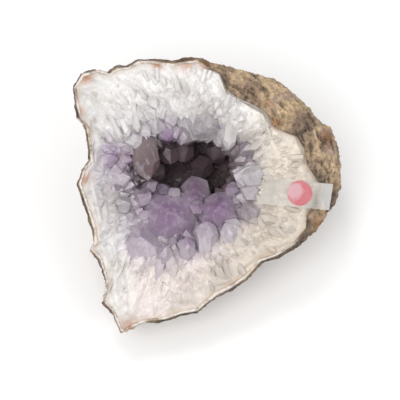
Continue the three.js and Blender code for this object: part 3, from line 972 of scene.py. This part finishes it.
def white_crystals():
    pick = random.Random(31)
    crystals = []
    for u, v in SEEDS:
        near = max(0.0, min(1.0, (WALL_SHARE - float(mouth_share(u, v))) / WALL_FADE))
        if pick.random() > FAR_CHANCE + (1 - FAR_CHANCE) * near:
            continue
        spot = surface_at(u, v)
        if spot is None or spot.z < DEEPEST:
            continue
        edge = rind_tree.find(spot)[2]
        if edge < RIM_FREE:
            continue
        crystals.append(wall_crystal(u, v, spot, edge, near, pick))
    return crystals


small_white = white_crystals()
print(len(small_white), "white crystals")

# %% [markdown]
# Nine longer crystals lie half sunk in the wall and end over the hollow.

# %% Long crystals over the hollow
BLADES = [
    # tip u and v, foot u and v, radius
    (28, 11, 31, 33, 5.5),
    (44, 11, 56, 21, 3.2),
    (46, 5, 58, 14, 3.2),
    (50, 14, 61, 26, 2.8),
    (-50, 18, -60, 38, 3.0),
    (-45, 21, -53, 42, 3.4),
    (-56, 15, -68, 33, 3.0),
    (-38, 24, -42, 44, 3.2),
    (-62, 20, -71, 32, 2.6),
]
FOOT_SUNK, TIP_OUT = 1.1, 0.5  # in radii


def blades():
    pick = random.Random(8)
    made = []
    for tip_u, tip_v, foot_u, foot_v, radius in BLADES:
        foot = surface_at(foot_u, foot_v)
        foot.z -= FOOT_SUNK * radius
        tip = Vector((tip_u, tip_v, foot.z + TIP_OUT * radius))
        along = tip - foot
        own = wall_traits(tip_u, tip_v, 0.3, 0.05, pick)
        made.append((tip, along.normalized(), radius, along.length, pick.uniform(0, FULL_TURN), own))
    return made


points = druse("quartz_points", small_white + blades())
points.data.materials.append(quartz_finish("clear_quartz", 0.12))
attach(points, "root")

# %% [markdown]
# The hollow is lined with one crust of amethyst. Its bed is a bowl of tiny crystals, pale at
# the mouth and darkened deeper in by painted shade, over a wider chamber, made from rings that
# are bridged and given a wall.

# %% Bed of the hollow
RINGS = [
    # u and v of the middle, half width, half height, w
    (-4, -12, 55, 51, -12),
    (-3, -7, 46, 41, -20),
    (0, -1, 37, 28, -35),
    (2, -3, 44, 33, -51),
    (2, -4, 36, 27, -65),
    (2, -4, 18, 14, -67),
    (2, -4, 5, 5, -67.5),
]
RING_SIDES = 72
BED_STEP = 3 * MM
BED_IN = 3.2  # how far the bed's surface lies inside the wall
BED_THICK = 2.5
NECK = 2  # the ring where the bowl ends and the dark hollow starts


def make_bed():
    work = bmesh.new()
    loops = []
    for u, v, half_width, half_height, w in RINGS:
        shape = Matrix.Diagonal((half_width - BED_IN, half_height - BED_IN, 1, 1))
        circle = {"segments": RING_SIDES, "radius": 1, "matrix": shape}
        ring = bmesh.ops.create_circle(work, cap_ends=False, **circle)["verts"]
        bmesh.ops.translate(work, verts=ring, vec=(u, v, w))
        loops.append(ring)
    for upper, lower in zip(loops, loops[1:]):
        near = set(upper) | set(lower)
        edges = [e for e in work.edges if e.verts[0] in near and e.verts[1] in near]
        bmesh.ops.bridge_loops(work, edges=edges)
    floor_ring = set(loops[-1])
    bmesh.ops.holes_fill(work, edges=[e for e in work.edges if set(e.verts) <= floor_ring])
    bmesh.ops.recalc_face_normals(work, faces=work.faces)
    if sum(f.normal.z for f in work.faces) < 0:
        bmesh.ops.reverse_faces(work, faces=work.faces)
    bmesh.ops.solidify(work, geom=work.faces[:], thickness=BED_THICK)
    bmesh.ops.triangulate(work, faces=work.faces)
    bmesh.ops.transform(work, matrix=FACE, verts=work.verts)
    split_long_edges(work, lambda vert: True, BED_STEP)
    piece = piece_from(work, "amethyst_bed")
    # Painted shade: the bed is darkened the deeper it lies in the hollow.
    store(piece.data, "hollow_shade", 1 - ease(-34, -14, face_places(piece.data)[:, 2]))
    return piece


def ring_place(angle, depth):
    """A point of the bed: depth counts rings from the mouth."""
    k = min(int(depth), len(RINGS) - 2)
    share = depth - k
    u, v, a, b, w = (x + (y - x) * share for x, y in zip(RINGS[k], RINGS[k + 1]))
    return Vector((u + (a - BED_IN) * math.cos(angle), v + (b - BED_IN) * math.sin(angle), w))


bed = make_bed()
print("bed", len(bed.data.polygons), "faces")

# %% [markdown]
# The large crystals are placed one by one, because they are what one knows this stone by: three
# violet pyramids under the hollow, smoky ones beside and over it, dim ones down in the dark.

# %% Large crystals
LARGE = [
    # tip u, v and w, radius, length, lean of the axis along u and v
    (-15, -35, 6, 24, 30, 0.05, 0.15),
    (-34, -51, 8, 19, 30, 0.1, 0.35),
    (20, -29, 0, 17.5, 26, -0.1, 0.3),
    (12, -40, 0, 9.5, 26, 0, 1.5),
    (-12, -16, -11, 5.5, 20, 0, 0.7),
    (-19, -14, -11, 5.5, 20, 0.1, 0.6),
    (4, -17, -14, 12.5, 26, 0, 0.12),  # the dome at the hollow's lower edge
    (4, -21, -15, 7, 24, 0, 0.4),
    (6, -29, -8, 6, 24, 0.1, 0.3),
    (-30, -12, -9, 12, 34, 0.45, -2.4),  # the smoky column at the left
    (-24, -12, -16, 6, 26, 0.8, 0.6),
    (-14, 1, -28, 9, 30, 0.3, -0.9),
    (-5, 3, -33, 10, 30, 0.1, -0.9),
    (-20, -6, -31, 8, 30, 0.6, -0.2),
    (9, -2, -42, 10, 30, 0, -0.2),
    (17, 4, -40, 9, 30, -0.3, -0.6),
    (-52, 5, -5, 8, 24, 1.6, 0.1),
    (-44, -9, -7, 7, 22, 1.2, 0.2),
    (-29, -19, -11, 8, 24, 0.9, 0.7),
    (-43, -27, -5, 8, 26, 1.0, 0.3),
    (32, -7, -7, 11, 28, -1.0, 0.1),
    (38, -17, -5, 8, 24, -1.2, 0.5),
    (27, -15, -14, 7, 20, -0.6, 0.4),
    (39, -28, -3, 9, 26, -0.9, 1.0),
    (26, -42, -2, 8, 24, -0.5, 1.3),
    (-2, -52, -1, 7, 24, 0, 1.4),
    (-17, -58, -1, 7, 22, 0.3, 1.4),
    (-23, 23, -9, 10, 30, 0.5, -0.9),
    (-31, 17, -11, 8, 26, 0.8, -0.7),
    (-17, 18, -11, 7.5, 30, 0.1, -0.8),
    (-10, 19, -14, 8, 30, 0.2, -0.8),
    (-7, 15, -17, 7.5, 30, -0.3, -0.9),
    (2, 18, -13, 10, 30, 0.1, -0.7),
    (12, 18, -12, 12.5, 32, 0, -0.7),
    (21, 14, -14, 8, 30, -0.4, -0.9),
    (27, 11, -12, 7, 32, -0.5, -1.0),
    (-12, 28, -8, 7, 26, 0.3, -1.0),
    (12, 26, 0, 13.5, 28, 0.05, -0.3),  # the smoky block
    (30, 20, -7, 9, 26, -0.5, -0.8),
    (32, 3, -12, 6.5, 28, -1.5, -0.5),
    (31, -4, -13, 5, 28, -1.5, 0.2),
    (36, 9, -9, 8, 28, -1.8, -0.9),
    (38, -7, -2, 11, 26, -0.9, 0.1),
]
CLEAR = (5,)  # which of them are clear as glass
HOLLOW_SHADE_DEPTH = (-32, -14)  # the w between which painted shade sets in on the crystals


def traits_at(tip, axis, radius, hollow_shade, pick, least=0.6):
    middle = tip - axis * radius
    violet, smoke, grey = (float(x) for x in tint(middle.x, middle.y))
    vary = pick.uniform(least, 1.15)
    own = {"violet": min(1, violet * vary), "deep": max(0, violet - 1), "smoke": min(1, smoke * vary)}
    own.update({"grey": grey, "hollow_shade": hollow_shade, "shade": pick.random()})
    return own


def large_crystals():
    pick = random.Random(3)
    made = []
    for number, (u, v, w, radius, length, lean_u, lean_v) in enumerate(LARGE):
        axis = Vector((lean_u, lean_v, 1)).normalized()
        tip = Vector((u, v, w))
        # Painted shade on crystals that stand deep in the hollow.
        hollow_shade = 0.6 * (1 - float(ease(*HOLLOW_SHADE_DEPTH, np.array(w))))
        own = traits_at(tip, axis, radius, hollow_shade, pick, 1.0)
        made.append((tip, axis, radius, length, 0.5 + 1.7 * number, own))
    return made


large = large_crystals()
print(len(large), "large crystals")

# %% [markdown]
# Small crystals fill what is left. Each stands a golden angle round from the last, like the
# seeds of a sunflower, so there are no rows. They lean in, and towards the neck and below it
# they are darkened by painted shade.

# %% Small crystals of the crust
GOLDEN = 3 - math.sqrt(5)  # the golden angle, in half turns
JITTER = 0.3
BOWL_SHADE = (0.9, 2.0)  # rings between which painted shade sets in on the bowl


def inward(angle, rise, pick):
    """A direction from the bed to the hollow's axis, a little off at random."""
    axis = Vector((-math.cos(angle), -math.sin(angle), rise))
    axis += Vector([pick.uniform(-JITTER, JITTER) for _ in range(3)])
    return axis.normalized()


def bowl_crystals(count, deepest, low_radius, high_radius, seed):
    """Crystals on the bowl between the mouth's edge and the neck."""
    pick = random.Random(seed)
    made = []
    for number in range(count):
        depth = deepest * (number + 0.5) / count
        angle = (number + seed) * math.pi * GOLDEN + pick.uniform(-0.2, 0.2)
        upper = max(0.0, math.sin(angle))
        axis = inward(angle, (0.85 - 0.55 * upper) * pick.uniform(0.6, 1.3), pick)
        radius = low_radius + (high_radius - low_radius) * pick.random() ** 2
        tip = ring_place(angle, depth) + axis * radius * pick.uniform(0.6, 1.3)
        # Painted shade towards the neck.
        hollow_shade = 0.9 * float(ease(*BOWL_SHADE, np.array(depth)))
        turn = pick.uniform(0, FULL_TURN)
        made.append((tip, axis, radius, 5 * radius, turn, traits_at(tip, axis, radius, hollow_shade, pick)))
    return made


def hollow_crystals(count):
    """Crystals from the neck down to the floor of the hollow, with painted shade that is strongest at
    the right.
    """
    pick = random.Random(6)
    made = []
    for number in range(count):
        depth = NECK + 0.1 + 3.85 * (number + 0.5) / count
        angle = number * math.pi * GOLDEN
        spot = ring_place(angle, depth)
        axis = inward(angle, 0.1 if depth < 3.2 else 1.5, pick)
        radius = pick.uniform(2.5, 5.5)
        tip = spot + axis * radius * pick.uniform(0.8, 1.4)
        hollow_shade = max(0.6, min(1, 0.75 + 0.012 * (spot.x + 5)) * pick.uniform(0.85, 1))
        own = {"violet": 0.2, "deep": 0.0, "smoke": 0.6, "grey": 0.0, "hollow_shade": hollow_shade}
        own["shade"] = pick.random()
        made.append((tip, axis, radius, 2.4 * radius, pick.uniform(0, FULL_TURN), own))
    return made


standing = bowl_crystals(36, 1.2, 5.5, 9, 11)
filling = bowl_crystals(400, NECK + 0.1, 3.0, 7.5, 5)
glassy = [large[number] for number in CLEAR] + filling[::11]
cloudy = [one for one in large + standing + filling if one not in glassy]
crystals = druse("amethyst_crystals", cloudy + hollow_crystals(420))
clear = druse("clear_amethyst", glassy)

# %% [markdown]
# Amethyst is quartz with a violet end: the colour sits near the tip and fades to a milky foot,
# so tints are mixed in by its nearness. Veils and flaws read the crystal's own grain.

# %% Finish of the cloudy amethyst
TINTS = [
    # name, colour, share that is left at the foot
    ("violet", "#9b76a2", 0.25),
    ("deep", "#573a72", 0.1),
    ("grey", "#a5a4a2", 0.3),
    ("smoke", "#6a4f52", 0.8),
]


def tip_colours(f, colour):
    near_tip = f.maths("POWER", f.stored("tip"), 1.6)
    for name, code, at_foot in TINTS:
        share = f.plus(f.times(near_tip, 1 - at_foot), at_foot)
        colour = f.mix(f.times(share, f.stored(name)), colour, code)
    return colour


def amethyst_finish():
    f = Finish("amethyst")
    grain = f.stored("grain", "Vector")
    cloud = f.ramp(f.noise(160, 4, 0.6, 0.5, grain), (0.4, 0.0), (0.65, 1.0))
    tinted = tip_colours(f, f.mix(cloud, "#dcd5da", "#f2eeee"))
    veil = f.ramp(f.noise(150, 3, 0.55, 0.8, grain), (0.5, 0.0), (0.7, 0.35))
    veiled = f.mix(veil, tinted, "#f0eaf0")
    flaws = f.ramp(f.noise(380, 4, 0.7, 0.6, grain), (0.3, 0.82), (0.5, 0.98), (0.68, 1.1))
    flawed = f.darken(veiled, flaws)
    # Painted shade on the crystal ends over the hole.
    painted_shade = f.mix(f.stored("painted_shade"), flawed, "#57404f")
    # Painted shade deep in the hollow, mixed over the crystal's colour.
    hollow_shade = f.mix(f.stored("hollow_shade"), painted_shade, "#7b6a6c")
    shaded = f.darken(hollow_shade, f.ramp(f.stored("shade"), (0.0, 0.88), (1.0, 1.0)))
    # Painted light: a random darkening per face stands in for refraction.
    f.paint(f.darken(shaded, f.ramp(f.stored("painted_facet_light"), (0.0, 0.84), (1.0, 1.0))))
    f.set(Roughness=0.12, IOR=QUARTZ_IOR, Transmission_Weight=0.25)
    f.bump(f.noise(300, 4, 0.7, 0.8), 0.35, 0.0008)
    return f.material


crystals.data.materials.append(amethyst_finish())
print(len(TINTS), "tints")

# %% [markdown]
# The clear crystals are plain glass with a lilac absorption inside, darkened by painted shade
# deep in the hollow. The bed is dull, darkened by painted shade towards its depth, with the
# bumps of its tiny crystals.

# %% Finishes of the clear crystals and the bed


def clear_finish():
    f = Finish("clear_amethyst")
    tinted = f.mix(f.stored("violet"), "#ece6ee", "#c9b0d6")
    # Painted shade deep in the hollow.
    f.paint(f.mix(f.stored("hollow_shade"), tinted, "#a58fa8"))
    f.set(Roughness=0.05, IOR=QUARTZ_IOR, Transmission_Weight=0.85)
    haze = f.add("VolumeAbsorption")
    give(haze, Color=screen("#c4a9cf"), Density=20)
    f.join(haze.outputs["Volume"], f.tree.nodes["Material Output"].inputs["Volume"])
    return f.material


def bed_finish():
    f = Finish("druse_with_painted_shade")
    # Painted shade: pale at the mouth, near black deep in the hollow.
    deep = f.mix(f.stored("hollow_shade"), "#bdb0c0", "#1f181b")
    f.paint(f.mix(0.5, deep, f.times(f.cells(330), 1.0), "SOFT_LIGHT"))
    f.set(Roughness=0.8)
    f.bump(f.cells(300), 0.8, 0.002)
    return f.material


clear.data.materials.append(clear_finish())
bed.data.materials.append(bed_finish())
for piece in (bed, crystals, clear):
    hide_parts("amethyst_crust")
    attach(piece, "root")
print("crust finished")

# %% [markdown]
# The tape is hazy clear film over the hollows of the quartz. Stretched noise wrinkles it.

# %% Tape
STICKER_LOW, STICKER_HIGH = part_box("price_sticker")
STICKER_MIDDLE = (STICKER_LOW + STICKER_HIGH) / 2
TAPE_STEP = 1.6 * MM
WRINKLE = 0.3
ALONG, ACROSS = (1, 0.35, 0.2), (0.3, 1, 0.2)  # how two sets of wrinkles are stretched
CENTIMETRES, DECIMETRES = 100.0, 10.0  # in a metre, to suit the range of a ramp


def make_tape():
    work = merged_copy("tape")
    split_long_edges(work, lambda vert: True, TAPE_STEP)
    piece = piece_from(work, "tape_strip")
    places = face_places(piece.data)
    wrinkle = lumps(places * ALONG, 5, 2) + 0.6 * lumps(places * ACROSS, 4, 2, 5)
    places[:, 2] += WRINKLE * wrinkle
    write_places(piece.data, places)
    return piece


def tape_finish():
    f = Finish("hazy_tape")
    rough_haze = f.ramp(f.noise(160, 3, 0.6, 0.4), (0.3, 0.2), (0.7, 0.34))
    on_paper = f.ramp(f.times(f.away(STICKER_MIDDLE), CENTIMETRES), (0.88, 0.45), (0.96, 1.0))
    haze = f.times(rough_haze, on_paper)
    sides = f.add("SeparateXYZ")
    f.join(f.place, sides.inputs[0])
    along = f.times(sides.outputs["X"], DECIMETRES)
    end = f.ramp(along, (0.79, 0.0), (0.86, 0.5))
    start = f.ramp(along, (0.45, 0.12), (0.6, 0.0))
    f.join(f.plus(f.plus(haze, start), end), f.shader.inputs["Alpha"])
    f.paint(f.mix(end, "#d6d1ca", "#a9aaab"))
    f.set(Roughness=0.28)
    return f.material


tape = make_tape()
tape.data.materials.append(tape_finish())
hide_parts("tape")
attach(tape, "root")
print("tape", len(tape.data.polygons), "faces")

# %% [markdown]
# The sticker under it is matte pink-red paper, faded left of its middle. Its solid has the
# right shape already.

# %% Sticker
FADED = STICKER_MIDDLE + Vector((-3.5, 2, 0)) * MM


def sticker_finish():
    f = Finish("faded_sticker")
    worn = f.times(f.noise(260, 5, 0.7), 0.6)
    reach = f.plus(f.times(f.away(FADED), CENTIMETRES), worn)
    pink = f.mix(f.noise(170, 4, 0.6), "#bd0a38", "#c62e54")
    f.paint(f.mix(f.ramp(reach, (0.78, 1.0), (1.0, 0.0)), pink, "#cb8f9c"))
    f.set(Roughness=0.6)
    return f.material


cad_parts["price_sticker"].material_slots[0].material = sticker_finish()
print("sticker at", tuple(round(x, 4) for x in STICKER_MIDDLE))
